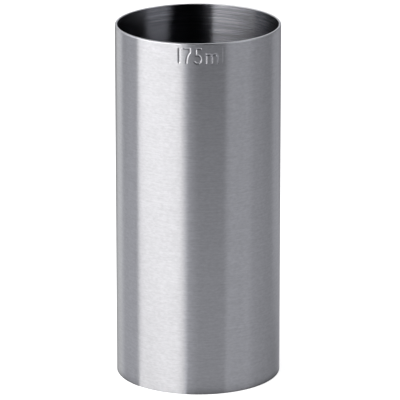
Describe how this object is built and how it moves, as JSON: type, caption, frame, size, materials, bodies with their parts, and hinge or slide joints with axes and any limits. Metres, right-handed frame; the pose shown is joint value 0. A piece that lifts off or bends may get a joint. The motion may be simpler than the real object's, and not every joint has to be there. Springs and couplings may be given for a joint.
{
  "type": "thimble measure",
  "caption": "Straight-sided brushed steel measuring cup, made of drawn tube closed by a recessed, brazed base disc. It holds its stated volume when filled to the brim.",
  "frame": {"origin": "centre of the circle that the cup stands on", "axes": "+Z is the cup's axis, up out of the mouth. -Y faces the viewer, and +X is to the viewer's right. The volume mark is on the -Y side."},
  "size_m": [0.048, 0.048, 0.105],
  "materials": {
    "brushed_steel": "stainless steel brushed in fine lines round the cup, with polished edges",
    "rolled_steel": "stainless sheet with a dull rolled finish",
    "braze_alloy": "silver brazing alloy, smooth as it set, pale yellow"
  },
  "bodies": {
    "root": {"body_tube": "brushed_steel", "base_disc": "rolled_steel", "braze_seam": "braze_alloy"}
  },
  "joints": []
}
